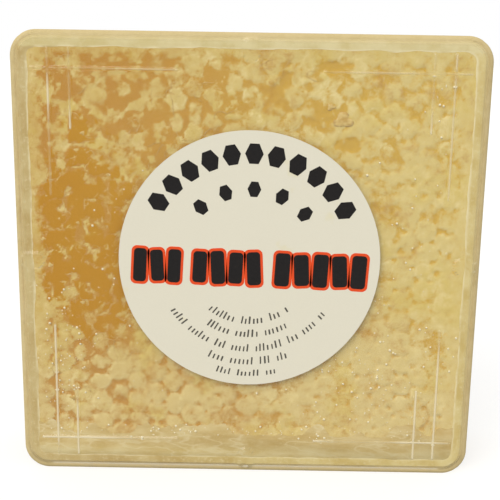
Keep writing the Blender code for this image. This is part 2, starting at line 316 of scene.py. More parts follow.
def new_object(name, vertices, faces, material, smooth_shaded=True, closed=True, sharp=None):
    """An object from points in millimetres; a closed one gets its normals turned outwards."""
    mesh = bpy.data.meshes.new(name)
    mesh.from_pydata([tuple(v) for v in np.asarray(vertices) * MM], [], faces)
    obj = link_mesh(mesh, material, smooth_shaded)
    if closed:
        bm = bmesh.new()
        bm.from_mesh(mesh)
        bmesh.ops.recalc_face_normals(bm, faces=bm.faces)
        bm.to_mesh(mesh)
        bm.free()
    if sharp:
        mesh.set_sharp_from_angle(angle=math.radians(sharp))
    return obj


def add_attribute(obj, name, values):
    attribute = obj.data.attributes.new(name, "FLOAT", "POINT")
    attribute.data.foreach_set("value", np.asarray(values, np.float32))


def round_corners(x, z, half_x, half_z, corner):
    """Moves grid points near the corners of a rectangle about 0 onto round corners."""
    over_x = np.clip(np.abs(x) - (half_x - corner), 0, None) / corner
    over_z = np.clip(np.abs(z) - (half_z - corner), 0, None) / corner
    round_x = over_x * np.sqrt(1 - over_z ** 2 / 2)
    round_z = over_z * np.sqrt(1 - over_x ** 2 / 2)
    x = x + np.sign(x) * (round_x - over_x) * corner
    z = z + np.sign(z) * (round_z - over_z) * corner
    return x, z


def comb_grid(columns, rows):
    half_z = (COMB_HIGH - COMB_LOW) / 2
    lines = np.linspace(-half_z, half_z, rows + 1), np.linspace(-COMB_X, COMB_X, columns + 1)
    z, x = np.meshgrid(*lines, indexing="ij")
    x, z = round_corners(x.ravel(), z.ravel(), COMB_X, half_z, COMB_CORNER)
    return x, z + (COMB_HIGH + COMB_LOW) / 2 - MIDDLE_Z


def grid_faces(columns, rows, first, flip):
    corners = first + np.arange(rows)[:, None] * (columns + 1) + np.arange(columns)
    around = (0, columns + 1, columns + 2, 1) if flip else (0, 1, columns + 2, columns + 1)
    return (corners.reshape(-1, 1) + around).tolist()


def join_rings(near, far, faces):
    """Adds the faces between two rings of as many points."""
    for i in range(len(near)):
        j = (i + 1) % len(near)
        faces.append((near[i], near[j], far[j], far[i]))


def join_tube(first, sides, count, faces, closed=False):
    """Adds the faces along count rings of points that follow one another from first."""
    last = first + sides * (count - 1)
    for start in range(first, last, sides):
        join_rings(range(start, start + sides), range(start + sides, start + 2 * sides), faces)
    if closed:
        faces += [tuple(range(first, first + sides))[::-1], tuple(range(last, last + sides))]


def grid_rim(columns, rows, first):
    """Indices round the edge of a grid, from its lower left corner."""
    grid = first + np.arange((rows + 1) * (columns + 1)).reshape(rows + 1, -1)
    sides = [grid[0, :-1], grid[:-1, -1], grid[-1, :0:-1], grid[:0:-1, 0]]
    return np.concatenate(sides).tolist()


def cut_side(along, y):
    """Honey share, tone and inward cut of the slab's sides, where cells lie cut lengthwise."""
    def mixed(size, seed):
        return layers(along, y, size, seed)

    midrib_y = 0.4 + 1.1 * (noise(along, y, 6, 302) - 0.5)
    strip = along / PITCH + 0.35 * (noise(along, y, 8, 301) - 0.5) + 0.5 * (y > midrib_y)
    wall = smooth(0.36, 0.47, np.abs((strip % 1) - 0.5)) * smooth(0.18, 0.42, mixed(4, 303))
    midrib = smooth(0.9, 0.3, np.abs(y - midrib_y)) * smooth(0.15, 0.4, mixed(5, 308))
    cap = smooth(10.6, 12.2, np.abs(y - (LID_INNER_Y + BACK_INNER_Y) / 2))
    smear = 0.8 * smooth(0.44, 0.66, mixed(6, 309))
    wax = np.maximum.reduce([0.85 * wall, 0.9 * midrib, 0.9 * cap, smear])
    wax = np.clip(wax + 0.9 * (mixed(2.4, 304) - 0.45), 0, 1)
    return 1 - wax, 0.5 + 0.7 * (mixed(2, 306) - 0.5), 0.3 * (1 - wax) * mixed(4, 305)


def side_swell(y):
    """How far the slab's sides swell past its neck width, to touch the tray's wall."""
    behind_neck = np.clip((y - NECK_END_Y) / (WIDE_START_Y - NECK_END_Y), 0, 1)
    into_corner = np.clip((y - CAP_END_Y) / (BACK_INNER_Y - CAP_END_Y), 0, 1)
    return (WIDE_REACH + WALL_REACH) * behind_neck * np.sqrt(1 - into_corner ** 2)


def make_comb(material):
    """The slab: a fine front, a coarser back and the cut sides, in one closed mesh."""
    vertices, gap, tone, faces, rims, first = [], [], [], [], [], 0
    for coarser, wall_y, inwards, seed in ((1, LID_INNER_Y, 1, 7), (2, BACK_INNER_Y, -1, 91)):
        columns, rows = FINE_COLUMNS // coarser, FINE_ROWS // coarser
        x, z = comb_grid(columns, rows)
        depth, face_gap, face_tone = comb_face(x, z, seed, coarser == 1)
        vertices.append(np.stack([x, wall_y + inwards * depth, z + MIDDLE_Z], 1))
        gap.append(face_gap)
        tone.append(face_tone)
        faces += grid_faces(columns, rows, first, coarser == 2)
        rims.append(grid_rim(columns, rows, first))
        first += len(x)
    fine, coarse = rims
    points = np.concatenate(vertices)
    rim_front, rim_back = points[fine[::2]], points[coarse]
    edges = np.linalg.norm(np.roll(rim_back, -1, 0)[:, [0, 2]] - rim_back[:, [0, 2]], axis=1)
    along = np.concatenate([[0], np.cumsum(edges)[:-1]])
    from_middle = rim_back[:, [0, 2]] - np.array([0, (COMB_HIGH + COMB_LOW) / 2])
    straight = np.array([COMB_X, (COMB_HIGH - COMB_LOW) / 2]) - COMB_CORNER
    outward = np.sign(from_middle) * np.clip(np.abs(from_middle) - straight, 1e-6, None)
    outward /= np.linalg.norm(outward, axis=1)[:, None]

    rings = []
    stations = np.concatenate([
        np.linspace(CAP_START_Y, NECK_END_Y, 9), np.linspace(NECK_END_Y, WIDE_START_Y, 3)[1:],
        np.linspace(WIDE_START_Y, CAP_END_Y, 14)[1:], [12.75, 13.05],
    ])
    for station in stations:
        y = np.clip(np.full(len(coarse), station), rim_front[:, 1] + 0.1, rim_back[:, 1] - 0.05)
        side_gap, side_tone, inward = cut_side(along, y)
        # Nothing is cut at the ends and where the tray's wall slopes, so that no air gap opens.
        away = max(NECK_END_Y - station, station - WIDE_START_Y)
        away = min(away, station - CAP_START_Y, CAP_END_Y - station)
        move = side_swell(y) - inward * min(max(away, 0.0), 1.0)
        x = rim_back[:, 0] + outward[:, 0] * move
        z = rim_back[:, 2] + outward[:, 1] * move
        vertices.append(np.stack([x, y, z], 1))
        gap.append(side_gap)
        tone.append(side_tone)
        rings.append(range(first, first + len(coarse)))
        first += len(coarse)
    for i in range(len(coarse)):
        j = (i + 1) % len(coarse)
        left, mid, right = fine[2 * i], fine[2 * i + 1], fine[(2 * i + 2) % len(fine)]
        near, following = rings[0][i], rings[0][j]
        faces += [(left, near, mid), (mid, near, following), (mid, following, right)]
    for ring, following in zip(rings, rings[1:] + [coarse]):
        join_rings(ring, following, faces)
    comb = new_object("comb_wax", np.concatenate(vertices), faces, material)
    add_attribute(comb, "gap", np.concatenate(gap))
    add_attribute(comb, "tone", np.concatenate(tone))
    return comb


def tube(path, radii, vertices, faces, sides=6):
    """Adds a closed tube along the path, tapering to its ends."""
    path = np.asarray(path, float)
    first = len(vertices)
    tangents = np.gradient(path, axis=0)
    for point, tangent, radius in zip(path, tangents, radii):
        t = Vector(tangent).normalized()
        a = t.cross(Vector((0, 1, 0)))
        a = a.normalized() if a.length > 0.01 else Vector((1, 0, 0))
        b = t.cross(a).normalized()
        for side in range(sides):
            angle = math.tau * side / sides
            offset = (a * math.cos(angle) + b * math.sin(angle) * 0.6) * radius
            vertices.append(tuple(point + np.array(offset)))
    join_tube(first, sides, len(path), faces, True)


def make_threads(material):
    """Shreds of wax: the torn rims of cells that lost their caps, pressed against the lid."""
    rng = np.random.default_rng(11)
    vertices, faces = [], []
    for _ in range(THREADS):
        if rng.random() < 0.7:
            x, z = rng.normal(-37, 7), rng.normal(3, 17)
        else:
            x, z = rng.normal(-24, 16), rng.normal(30, 9)
        if not (-50 < x < 46 and -40 < z < 46) or math.hypot(x, z) < 25:
            continue
        steps = int(rng.integers(5, 15))
        heading = rng.uniform(0, math.tau)
        turn = rng.normal(0, 0.12)
        path, radii = [], []
        width = rng.uniform(0.04, 0.085)
        for step in range(steps):
            heading += turn + rng.normal(0, 0.62)
            x += THREAD_STEP * math.cos(heading)
            z += THREAD_STEP * math.sin(heading)
            x = min(max(x, -51), 51)
            path.append((x, LID_INNER_Y - 0.01 + rng.uniform(0, 0.06), z + MIDDLE_Z))
            taper = math.sin(math.pi * (step + 0.6) / (steps + 0.2))
            radii.append(width * (0.35 + 0.65 * taper) * rng.uniform(0.7, 1.3))
        tube(path, radii, vertices, faces)
    return new_object("wax_threads", vertices, faces, material)


def flake(centre_x, centre_z, reach, seed, vertices, faces, rings=4, sides=20):
    """Adds a torn, crumpled crumb of capping, flat against the lid and thickest in its middle."""
    rng = np.random.default_rng(seed)
    wobble = 1 + 0.28 * np.sin(np.arange(sides) * math.tau / sides * 3 + rng.uniform(0, 6))
    wobble += rng.normal(0, 0.12, sides)
    first = len(vertices)
    face_y, z = LID_INNER_Y - CRUMB_IN_WALL, centre_z + MIDDLE_Z
    for layer in (0, 1):
        vertices.append((centre_x, face_y + CRUMB_THICKNESS * layer, z))
        for ring in range(1, rings + 1):
            share = ring / rings
            for side in range(sides):
                angle = math.tau * side / sides
                radius = reach * share * wobble[side]
                sink = 0.15 * share ** 3 + (0.05 * rng.random() if ring < rings else 0.0)
                y = face_y + sink + layer * (CRUMB_THICKNESS - 0.35 * share ** 3)
                x = centre_x + radius * math.cos(angle)
                vertices.append((x, y, z + radius * math.sin(angle) * 0.8))
    size = 1 + rings * sides
    for base in (first, first + size):
        for side in range(sides):
            faces.append((base, base + 1 + side, base + 1 + (side + 1) % sides))
        join_tube(base + 1, sides, rings, faces)
    rim = range(first + size - sides, first + size)
    join_rings(rim, [i + size for i in rim], faces)


def make_flakes(material):
    """The lump of wax at the torn cap, and crumbs round the bare cells."""
    rng = np.random.default_rng(23)
    vertices, faces = [], []
    flake(TEAR_X, TEAR_Z, 2.1, 1, vertices, faces)
    flake(TEAR_X - 2.9, TEAR_Z + 3.1, 0.9, 2, vertices, faces)
    for index in range(CRUMBS):
        x, z = rng.normal(-38, 8), rng.normal(4, 20)
        if -50 < x < -26 and -38 < z < 44:
            flake(x, z, rng.uniform(0.3, 0.8), 40 + index, vertices, faces)
    return new_object("wax_crumbs", vertices, faces, material)


def make_bubbles(material):
    """Tiny air bubbles in the honey, against the lid."""
    rng = np.random.default_rng(5)
    bm = bmesh.new()
    # Count, then middle and spread along x, then along z, measured from the middle of the lid.
    patches = (
        (80, -44, 4.0, -24, 9.0), (70, -5, 26.0, -43.4, 1.1), (150, 30, 11.0, -29, 11.0),
        (25, 38, 4.0, 8, 14.0), (30, -30, 9.0, -2, 16.0), (14, 44, 3.0, 38, 5.0),
    )
    for count, middle_x, spread_x, middle_z, spread_z in patches:
        for _ in range(count):
            x, z = rng.normal(middle_x, spread_x), rng.normal(middle_z, spread_z)
            radius = (0.12 + 0.21 * rng.random() ** 2) * MM
            if abs(x) > 51 or not -49 < z < 49:
                continue
            at = Matrix.Translation(Vector((x, LID_INNER_Y, z + MIDDLE_Z)) * MM)
            bmesh.ops.create_icosphere(bm, subdivisions=2, radius=radius, matrix=at)
    mesh = bpy.data.meshes.new("air_bubbles")
    bm.to_mesh(mesh)
    bm.free()
    return link_mesh(mesh, material)


def honey_section(inset, y):
    """The pool's outline at one depth: round the lower right corner, over its surface and back."""
    radius = max(CORNER - inset, 0.6)
    half = HALF_WIDTH - inset
    corner = round_edge(half, inset, radius, -1, 8)[::-1]
    x = half * np.linspace(1, -1, POOL_STEPS + 1)
    lively = 3.4 if y < LID_INNER_Y + 0.5 else 0.8
    swell = lively * smooth(0.36, 0.78, layers(x, np.full(len(x), -13.0), 5, 77))
    climb = 3.0 * smooth(half - 5.0, half - 0.5, np.abs(x))
    surface = list(zip(x, POOL_TOP + swell + climb))
    return corner + surface + [(-x, z) for x, z in reversed(corner)]


def make_honey(material):
    """The pool under the comb, reaching just into the walls that hold it."""
    neck, wide = NECK_INSET - POOL_REACH, WALL - POOL_REACH
    stations = [(LID_INNER_Y - 0.03, 2.9), (NECK_TOP_Y, neck)]
    stations += [(y, neck) for y in (-10.5, -8.0, -5.5, -3.5)]
    stations += [(y, wide) for y in (-1.8, 1.0, 4.0, 7.0, 10.0, 12.4)]
    stations += [(13.3, 1.6), (BACK_INNER_Y + WALL_REACH, 2.6)]
    sections = [[(x, y, z) for x, z in honey_section(inset, y)] for y, inset in stations]
    vertices, faces = sum(sections, []), []
    join_tube(0, len(sections[0]), len(sections), faces, True)
    return new_object("honey_pool", vertices, faces, material, sharp=60)


# ---- the clear box

def grid_lines(half, step, finer):
    """Grid lines from -half to half, closer together about each (place, reach, count)."""
    lines = list(np.linspace(-half, half, round(2 * half / step) + 1))
    for place, reach, count in finer:
        for side in (-1, 1):
            lines += list(np.linspace(side * place - reach, side * place + reach, count))
    lines = np.unique(np.clip(lines, -half, half))
    kept = [lines[0]]
    for line in lines[1:]:
        if line - kept[-1] > 0.05:
            kept.append(line)
    kept[-1] = half
    return np.array(kept)


def line_distance(x, z, start, end):
    """Distance from points to the segment between start and end."""
    direction = np.array(end) - np.array(start)
    share = (x - start[0]) * direction[0] + (z - start[1]) * direction[1]
    share = np.clip(share / (direction @ direction), 0, 1)
    return np.hypot(x - start[0] - share * direction[0], z - start[1] - share * direction[1])


def lid_relief(x, z):
    """Height of the moulded lines and side tabs above the lid's face."""
    height = np.zeros_like(x)
    x, z = np.abs(x), np.abs(z)
    for start, end in RIB_LINES:
        near = np.clip(line_distance(x, z, start, end) / RIB_REACH, 0, 1)
        height = np.maximum(height, RIB_HEIGHT * np.cos(math.pi / 2 * near) ** 2)
    for start, end in TAB_LINES:
        near = line_distance(x, z, start, end)
        height = np.maximum(height, TAB_HEIGHT * (1 - smooth(1.5, 2.3, near)))
    return height


def grow_ring(x, z, grow):
    """The rounded outline through these points, moved outwards by grow."""
    from_x = x - np.clip(x, CORNER - HALF_WIDTH, HALF_WIDTH - CORNER)
    from_z = z - np.clip(z, CORNER - HALF_HEIGHT, HALF_HEIGHT - CORNER)
    length = np.hypot(from_x, from_z)
    return x + from_x / length * grow, z + from_z / length * grow


def rounded_rectangle(half_x, half_z, radius, steps, slack=0.0):
    """Points round a rectangle with round corners; slack keeps them off the arcs' exact ends."""
    points = []
    for side, end, start in ((1, -1, -90), (1, 1, 0), (-1, 1, 90), (-1, -1, 180)):
        for step in range(steps + 1):
            angle = math.radians(start + 90 * (step + slack) / (steps + 2 * slack))
            x = side * (half_x - radius) + radius * math.cos(angle)
            points.append((x, end * (half_z - radius) + radius * math.sin(angle)))
    return points


def box_ring(steps=10):
    """Points round the box's outer outline, measured from the middle of the lid."""
    return np.array(rounded_rectangle(HALF_WIDTH, HALF_HEIGHT, CORNER, steps, 0.001)).T


def round_edge(face_y, side_inset, radius, inwards, steps):
    """(y, inset) points of a rounded edge, from the flat face to the side."""
    points = []
    for step in range(steps + 1):
        angle = math.pi / 2 * (1 - step / steps)
        y = face_y + inwards * radius * (1 - math.sin(angle))
        points.append((y, side_inset + radius * (1 - math.cos(angle))))
    return points


def ring_shell(profile, x, z, start_inset, first, vertices, faces, previous=None):
    """Adds a ring at each (y, inset), numbers or one for each point, joined to the last."""
    for y, inset in profile:
        ring_x, ring_z = grow_ring(x, z, start_inset - inset)
        vertices.append(np.stack([ring_x, np.full(len(x), y), ring_z + MIDDLE_Z], 1))
        ring = list(range(first, first + len(x)))
        first += len(x)
        if previous is not None:
            join_rings(previous, ring, faces)
        previous = ring
    return previous


def side_haze(points, face_y, amount):
    """How honeyed the plastic looks: most along the rim of its face, a little down its sides."""
    x, z = np.abs(points[:, 0]), np.abs(points[:, 2] - MIDDLE_Z)
    over_x = np.clip(x - HALF_WIDTH + CORNER, 0, None)
    over_z = np.clip(z - HALF_HEIGHT + CORNER, 0, None)
    inset = CORNER - np.hypot(over_x, over_z)
    from_face = np.abs(points[:, 1] - face_y)
    outside = (inset < 1.1) | (from_face < 0.05) | (np.abs(points[:, 1]) > abs(face_y))
    edge = (smooth(2.4, 1.0, inset) + 0.24 * smooth(1.1, 0.7, inset)) * smooth(4.0, 1.6, from_face)
    edge = edge * (1 + 0.3 * smooth(50.0, 52.0, MIDDLE_Z - points[:, 2]))
    side = SIDE_HAZE * smooth(1.1, 0.4, inset)
    return np.where(outside, np.maximum(np.minimum(amount * edge, 1.0), side), 0.0)


def crest_highlight_lines(points):
    """Painted highlight: the lid's raised lines pale along their crests, where they would catch the
    lamp.
    """
    x, y, z = points.T
    z = z - MIDDLE_Z
    height = (LID_FACE_Y - y) / RIB_HEIGHT
    crest = smooth(0.35, 0.9, height) * (1 - smooth(1.02, 1.1, height))
    patchy = 0.35 + 0.65 * smooth(0.3, 0.65, noise(x, z, 9, 701))
    level = np.abs(z - LEVEL_RIB_Z) < 0.7
    return np.where(level, 0.42, 0.8) * crest * patchy


def shell(name, points, faces, material, face_y, haze, crest_highlight):
    obj = new_object(name, points, faces, material, sharp=SHARP_DEGREES)
    add_attribute(obj, "haze", side_haze(points, face_y, haze))
    # The mask of the painted highlight on the rib crests.
    add_attribute(obj, "crest_highlight", crest_highlight)
    return obj


def make_lid(material):
    """The lid, with rounded moulded lines on its face, in one closed mesh."""
    half_x, half_z = HALF_WIDTH - WALL, HALF_HEIGHT - WALL
    # Grid lines gather about the ribs (15 lines), about their ends (5) and about the tabs.
    across = ((46.4, 0.65, 15), (41.5, 0.65, 15), (16.8, 0.5, 5), (50.1, 2.4, 11), (0, 2.4, 15))
    up = ((LEVEL_RIB_Z, 0.65, 15), (16.0, 0.5, 5), (31.5, 0.5, 5), (49.2, 2.4, 11), (0, 2.4, 15))
    across, up = grid_lines(half_x, 3.0, across), grid_lines(half_z, 3.0, up)
    z, x = np.meshgrid(up, across, indexing="ij")
    x, z = x.ravel(), z.ravel()
    y = LID_FACE_Y - lid_relief(x, z)
    x, z = round_corners(x, z, half_x, half_z, CORNER - WALL)
    columns, rows = len(across) - 1, len(up) - 1
    vertices = [np.stack([x, y, z + MIDDLE_Z], 1)]
    faces = grid_faces(columns, rows, 0, False)
    rim = grid_rim(columns, rows, 0)
    profile = round_edge(LID_FACE_Y, 0.0, WALL, 1, 6)[1:]
    profile += [(SKIRT_END_Y - CHAMFER, 0.0), (SKIRT_END_Y, CHAMFER), (SKIRT_END_Y, WALL)]
    profile += [(SKIRT_ROOT_Y, WALL), (LID_INNER_Y, 1.8)]
    last = ring_shell(profile, x[rim], z[rim], WALL, len(x), vertices, faces, rim)
    faces.append(tuple(last))
    points = np.concatenate(vertices)
    return shell("lid_shell", points, faces, material, LID_FACE_Y, 0.78, crest_highlight_lines(points))


def make_tray(material):
    """The tray, with its neck, in one closed mesh."""
    profile = round_edge(BACK_FACE_Y, 0.0, 2.6, -1, 8)
    profile += [(TRAY_LIP_Y + CHAMFER, 0.0), (TRAY_LIP_Y, CHAMFER), (TRAY_LIP_Y, 1.55)]
    profile += [(NECK_TOP_Y, 1.55), (NECK_TOP_Y, NECK_INSET), (NECK_END_Y, NECK_INSET)]
    profile += [(WIDE_START_Y, WIDE_INSET)]
    profile += round_edge(BACK_INNER_Y, WIDE_INSET, 1.35, -1, 6)[::-1]
    vertices, faces = [], []
    x, z = box_ring()
    last = ring_shell(profile, x, z, 0.0, 0, vertices, faces)
    faces.append(tuple(range(len(x))))
    faces.append(tuple(last))
    points = np.concatenate(vertices)
    return shell("tray_shell", points, faces, material, BACK_FACE_Y, 0.66, np.zeros(len(points)))


def make_film(material):
    """Honey and wax squeezed between lid and tray, a closed ring that wets both."""
    sides = 480
    turn = np.arange(sides) / sides
    xs, zs = box_ring(30)
    steps = np.hypot(np.diff(xs, append=xs[0]), np.diff(zs, append=zs[0]))
    lengths = np.concatenate([[0], np.cumsum(steps)])
    x = np.interp(turn * lengths[-1], lengths, np.append(xs, xs[0]))
    z = np.interp(turn * lengths[-1], lengths, np.append(zs, zs[0]))
    wander = layers(x, z, 5, 601) - 0.5
    # Its back end is ragged, but reaches the skirt's end all along the top.
    ragged = -9.6 + 5.5 * (layers(x, z, 9, 611) - 0.5) + 2.5 * (layers(x, z, 2.5, 615) - 0.5)
    back_end = ragged + (FILM_END_Y - ragged) * smooth(46.0, 50.0, z)
    outside = WALL - WALL_REACH
    section = [
        (LID_INNER_Y - 0.06, 1.8), (SKIRT_ROOT_Y, outside), (back_end, outside), (back_end, 1.6),
        (-12.9, 1.6), (-12.9, LIP_INSET + wander), (LID_INNER_Y - 0.02, LIP_INSET + wander),
        (LID_INNER_Y - 0.06, 3.2),
    ]
    vertices, faces = [], []
    last = ring_shell(section, x, z, 0.0, 0, vertices, faces)
    join_rings(last, range(sides), faces)
    points = np.concatenate(vertices)
    film = new_object("honey_film", points, faces, material, sharp=SHARP_DEGREES)
    # The inner edge of the section carries the painted highlight.
    lip_highlight = [float(index in (5, 6)) for index in range(len(section))]
    add_attribute(film, "lip_highlight", np.repeat(lip_highlight, sides))
    return film


# ---- label and its plain print

def prism(outline, y_near, y_far, vertices, faces):
    """Adds a flat closed plate with this outline of (x, z) points."""
    first, count = len(vertices), len(outline)
    vertices += [(x, y_near, z) for x, z in outline]
    vertices += [(x, y_far, z) for x, z in outline]
    join_tube(first, count, 2, faces, True)


def hexagon(width, height):
    angles = [math.radians(60 * i) for i in range(6)]
    return [(width / 2 * math.cos(a), height / 2 * math.sin(a) / 0.866) for a in angles]


def turned(outline, centre_x, centre_z, angle):
    """The outline turned and moved to a place that is measured from the label's middle."""
    cos_a, sin_a = math.cos(angle), math.sin(angle)
    x0, z0 = LABEL_X + centre_x, LABEL_Z + centre_z
    return [(x0 + x * cos_a - z * sin_a, z0 + x * sin_a + z * cos_a) for x, z in outline]


def block(width, height, radius):
    return rounded_rectangle(width / 2, height / 2, radius, 5)


def ink_object(name, outlines, level, material):
    """Plates of ink on the paper; a higher level lies on top of a lower one."""
    vertices, faces = [], []
    far = PAPER_FRONT_Y + 0.01
    near = PAPER_FRONT_Y - INK_THICKNESS * level
    for outline in outlines:
        prism(outline, near, far, vertices, faces)
    obj = new_object(name, vertices, faces, material, smooth_shaded=False)
    return obj


def make_label(paper, black, orange, grey):
    """The paper disc, and a print of plain marks: hexagons, rounded blocks and thin strokes."""
    turns = [math.tau * i / 160 for i in range(160)]
    disc = [(LABEL_RADIUS * math.cos(a), LABEL_RADIUS * math.sin(a)) for a in turns]
    vertices, faces = [], []
    prism(turned(disc, 0, 0, 0), PAPER_FRONT_Y, PAPER_BACK_Y, vertices, faces)
    label = new_object("paper_label", vertices, faces, paper, smooth_shaded=False)
    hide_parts("label")

    # Two arcs of hexagons: count, first angle, step, arc radius, width and height.
    arcs = []
    for count, start, step, radius, width, height in (
        (11, 147, 11.75, 25.6, 4.3, 4.7), (5, 132, 22.5, 17.3, 3.2, 3.6),
    ):
        for index in range(count):
            angle = math.radians(start - step * index)
            place = radius * math.cos(angle), radius * math.sin(angle)
            arcs.append(turned(hexagon(width, height), *place, angle - math.pi / 2))

    # Three groups of blocks with borders: left end, right end and count.
    blocks, borders = [], []
    for left, right, count in ((-28.0, -15.8, 3), (-13.9, 3.2, 4), (5.6, 28.3, 5)):
        step = (right - left) / count
        for index in range(count):
            x = left + step * (index + 0.5)
            height = 7.6 if (index + count) % 2 else 7.1
            place = x, -1.8 + x * PRINT_SLOPE, math.radians(3 if index % 2 else -3)
            blocks.append(turned(block(step - 1.0, height + 0.5, 0.9), *place))
            borders.append(turned(block(step + 0.2, height + 1.8, 1.3), *place))

    # Five rows of bars in groups: arc radius, reach to either side and height.
    strokes = []
    rows = (
        (14.6, 9.6, 1.9), (17.9, 9.8, 1.9), (21.6, 21.0, 1.9), (24.9, 9.4, 1.9), (28.0, 7.4, 1.6),
    )
    rng = np.random.default_rng(3)
    for radius, reach, height in rows:
        along, left_in_group = -reach, int(rng.integers(4, 8))
        while along < reach:
            angle = -math.pi / 2 + along / radius
            tall = height * rng.choice([0.68, 0.68, 1.0])
            middle = radius - (tall - height) / 2
            bar = block(rng.uniform(0.32, 0.42), tall, 0.14)
            place = middle * math.cos(angle), middle * math.sin(angle)
            strokes.append(turned(bar, *place, angle + math.pi / 2 - 0.1))
            along += rng.uniform(0.85, 1.1)
            left_in_group -= 1
            if left_in_group == 0:
                along += 1.2
                left_in_group = int(rng.integers(3, 8))
    return [
        label,
        ink_object("label_marks", arcs, 1, black),
        ink_object("label_borders", borders, 1, orange),
        ink_object("label_blocks", blocks, 2, black),
        ink_object("label_strokes", strokes, 1, grey),
    ]


# ---- materials

class Nodes:
    """The node tree of a material or of the world, with short ways to add the nodes used here."""

    def __init__(self, owner, output):
        owner.use_nodes = True
        self.owner = owner
        self.tree = owner.node_tree
        self.tree.nodes.clear()
        self.output = self.node(output)

    def put(self, socket, value):
        """Links an output to the socket, or sets it to a number, a vector or a colour."""
        if isinstance(value, bpy.types.NodeSocket):
            self.tree.links.new(value, socket)
        elif isinstance(value, tuple):
            socket.default_value = (*value, 1.0)[:len(socket.default_value)]
        else:
            socket.default_value = value

    def node(self, kind, values=()):
        """A new node with its inputs, by name or index, put to these values."""
        node = self.tree.nodes.new(kind)
        for key, value in dict(values).items():
            self.put(node.inputs[key], value)
        return node

    def finish(self, shader):
        self.put(self.output.inputs["Surface"], shader)
        return self.owner

    def noise(self, scale, detail=3.0, roughness=0.55, vector=None):
        node = self.node("ShaderNodeTexNoise", {
            "Vector": self.place if vector is None else vector,
            "Scale": scale, "Detail": detail, "Roughness": roughness,
        })
        return node.outputs["Fac"]

    def maths(self, operation, a, b=0.0):
        node = self.node("ShaderNodeMath", {0: a, 1: b})
        node.operation = operation
        return node.outputs[0]

    def times(self, a, b):
        return self.maths("MULTIPLY", a, b)

    def plus(self, a, b):
        return self.maths("ADD", a, b)

    def minus(self, a, b):
        return self.maths("SUBTRACT", a, b)

    def mix(self, factor, low, high):
        node = self.tree.nodes.new("ShaderNodeMix")
        node.data_type = "RGBA"
        for index, value in ((0, factor), (6, low), (7, high)):
            self.put(node.inputs[index], value)
        return node.outputs[2]

    def attribute(self, name):
        node = self.node("ShaderNodeAttribute")
        node.attribute_name = name
        return node.outputs["Fac"]

    def ramp(self, value, low, high):
        """value mapped from low..high to 0..1, softly."""
        node = self.node("ShaderNodeMapRange", {"Value": value, "From Min": low, "From Max": high})
        node.interpolation_type = "SMOOTHSTEP"
        return node.outputs["Result"]

    def axis(self, name):
        return self.node("ShaderNodeSeparateXYZ", {0: self.place}).outputs[name]

    def seen(self):
        """1 for what the viewer meets straight on, in a gloss or through the plastic."""
        path = self.node("ShaderNodeLightPath").outputs
        straight = self.maths("MAXIMUM", path["Is Camera Ray"], path["Is Glossy Ray"])
        return self.maths("MAXIMUM", straight, path["Is Transmission Ray"])

    def blend(self, factor, first, second):
        return self.node("ShaderNodeMixShader", {0: factor, 1: first, 2: second}).outputs[0]

    def principled(self, colour, roughness, specular, bump=None, values=()):
        """A principled shader; bump gives a height, its strength and its distance."""
        shader = self.node("ShaderNodeBsdfPrincipled", {
            "Base Color": colour, "Roughness": roughness, "Specular IOR Level": specular,
            **dict(values),
        })
        if bump:
            height, strength, distance = bump
            relief = {"Height": height, "Strength": strength, "Distance": distance}
            self.put(shader.inputs["Normal"], self.node("ShaderNodeBump", relief).outputs[0])
        return shader.outputs[0]

    def surface(self, *values):
        return self.finish(self.principled(*values))


def new_look(name):
    look = Nodes(bpy.data.materials.new(name), "ShaderNodeOutputMaterial")
    look.place = look.node("ShaderNodeTexCoord").outputs["Object"]
    return look


def srgb(red, green, blue):
    """Linear colour of an sRGB one given as 0 to 255."""
    values = []
    for value in (red, green, blue):
        share = value / 255
        values.append(share / 12.92 if share <= 0.04045 else ((share + 0.055) / 1.055) ** 2.4)
    return tuple(values)


def drift_of(look):
    """0 in the amber left, 1 in the pale right; and 0 above, 1 at the bottom."""
    wander = look.times(look.minus(look.noise(38.0, 2.0), 0.5), 0.05)
    across = look.ramp(look.plus(look.axis("X"), wander), -0.046, 0.036)
    down = look.ramp(look.plus(look.axis("Z"), wander), 0.046, 0.012)
    return across, down


def comb_material():
    """Cream wax over amber honey by "gap", lighter and darker by "tone", both roughened."""
    look = new_look("comb_wax")
    across, down = drift_of(look)
    amber = look.mix(across, srgb(192, 137, 6), srgb(211, 173, 60))
    amber = look.mix(look.times(down, 0.6), amber, srgb(196, 150, 72))
    cream = look.mix(across, srgb(214, 188, 112), srgb(222, 203, 138))
    cream = look.mix(look.times(down, 0.7), cream, srgb(222, 202, 150))
    yellow = look.ramp(look.noise(75.0, 3.0, 0.6), 0.48, 0.66)
    cream = look.mix(look.times(yellow, 0.5), cream, srgb(217, 193, 92))
    coarse = look.minus(look.noise(950.0, 4.0, 0.65), 0.5)
    fine = look.times(look.minus(look.noise(2700.0, 3.0, 0.6), 0.5), 0.7)
    gap = look.plus(look.plus(look.attribute("gap"), look.times(coarse, 0.9)), fine)
    gap = look.ramp(gap, 0.07, 0.6)
    tone = look.plus(look.plus(look.attribute("tone"), look.times(coarse, 0.5)), fine)
    lighter = look.times(look.ramp(tone, 0.5, 1.05), look.minus(0.85, gap))
    darker = look.times(look.ramp(tone, 0.5, -0.05), 0.7)
    colour = look.mix(gap, cream, amber)
    colour = look.mix(look.maths("MAXIMUM", lighter, 0.0), colour, srgb(236, 220, 168))
    colour = look.mix(darker, colour, srgb(188, 133, 10))
    roughness = look.minus(0.55, look.times(gap, 0.35))
    bump = (look.noise(900.0, 5.0, 0.65), 0.35, 0.0003)
    return look.surface(colour, roughness, 0.05, bump)


def pale_wax_material():
    look = new_look("pale_wax")
    grain = look.noise(1100.0, 4.0)
    colour = look.mix(look.ramp(grain, 0.3, 0.7), srgb(196, 160, 84), srgb(220, 194, 128))
    return look.surface(colour, 0.5, 0.3, (grain, 0.3, 0.0002))


